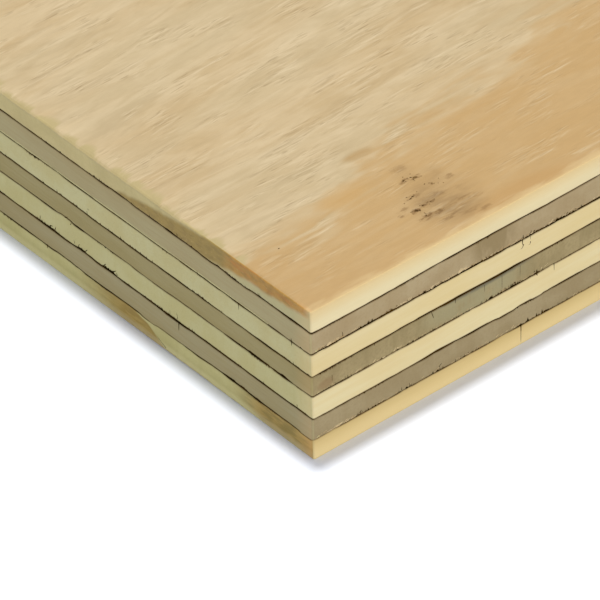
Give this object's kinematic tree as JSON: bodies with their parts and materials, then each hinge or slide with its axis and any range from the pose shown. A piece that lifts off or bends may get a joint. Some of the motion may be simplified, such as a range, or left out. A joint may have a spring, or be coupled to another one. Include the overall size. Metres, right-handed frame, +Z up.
{
  "type": "plywood sheet",
  "caption": "Flat square plywood sheet of pale and grey-brown veneers laid crosswise in turn and bonded by dark glue lines, for boxes, shelves and sheathing.",
  "frame": {"origin": "centre of the back face, which lies on the floor", "axes": "+X along the grain of the face, +Y across it, +Z up from the back to the face"},
  "size_m": [0.61, 0.61, 0.0183],
  "materials": {
    "pale_veneer": "peeled and sanded, sawn edges",
    "crossband_veneer": "peeled, sawn edges",
    "glue": "cured phenolic resin"
  },
  "bodies": {
    "root": {"face_veneer": "pale_veneer", "core_ply_upper": "pale_veneer", "core_ply_lower": "pale_veneer", "back_veneer": "pale_veneer", "crossband_upper": "crossband_veneer", "crossband_centre": "crossband_veneer", "crossband_lower": "crossband_veneer", "glue_line_1": "glue", "glue_line_2": "glue", "glue_line_3": "glue", "glue_line_4": "glue", "glue_line_5": "glue", "glue_line_6": "glue"}
  },
  "joints": []
}
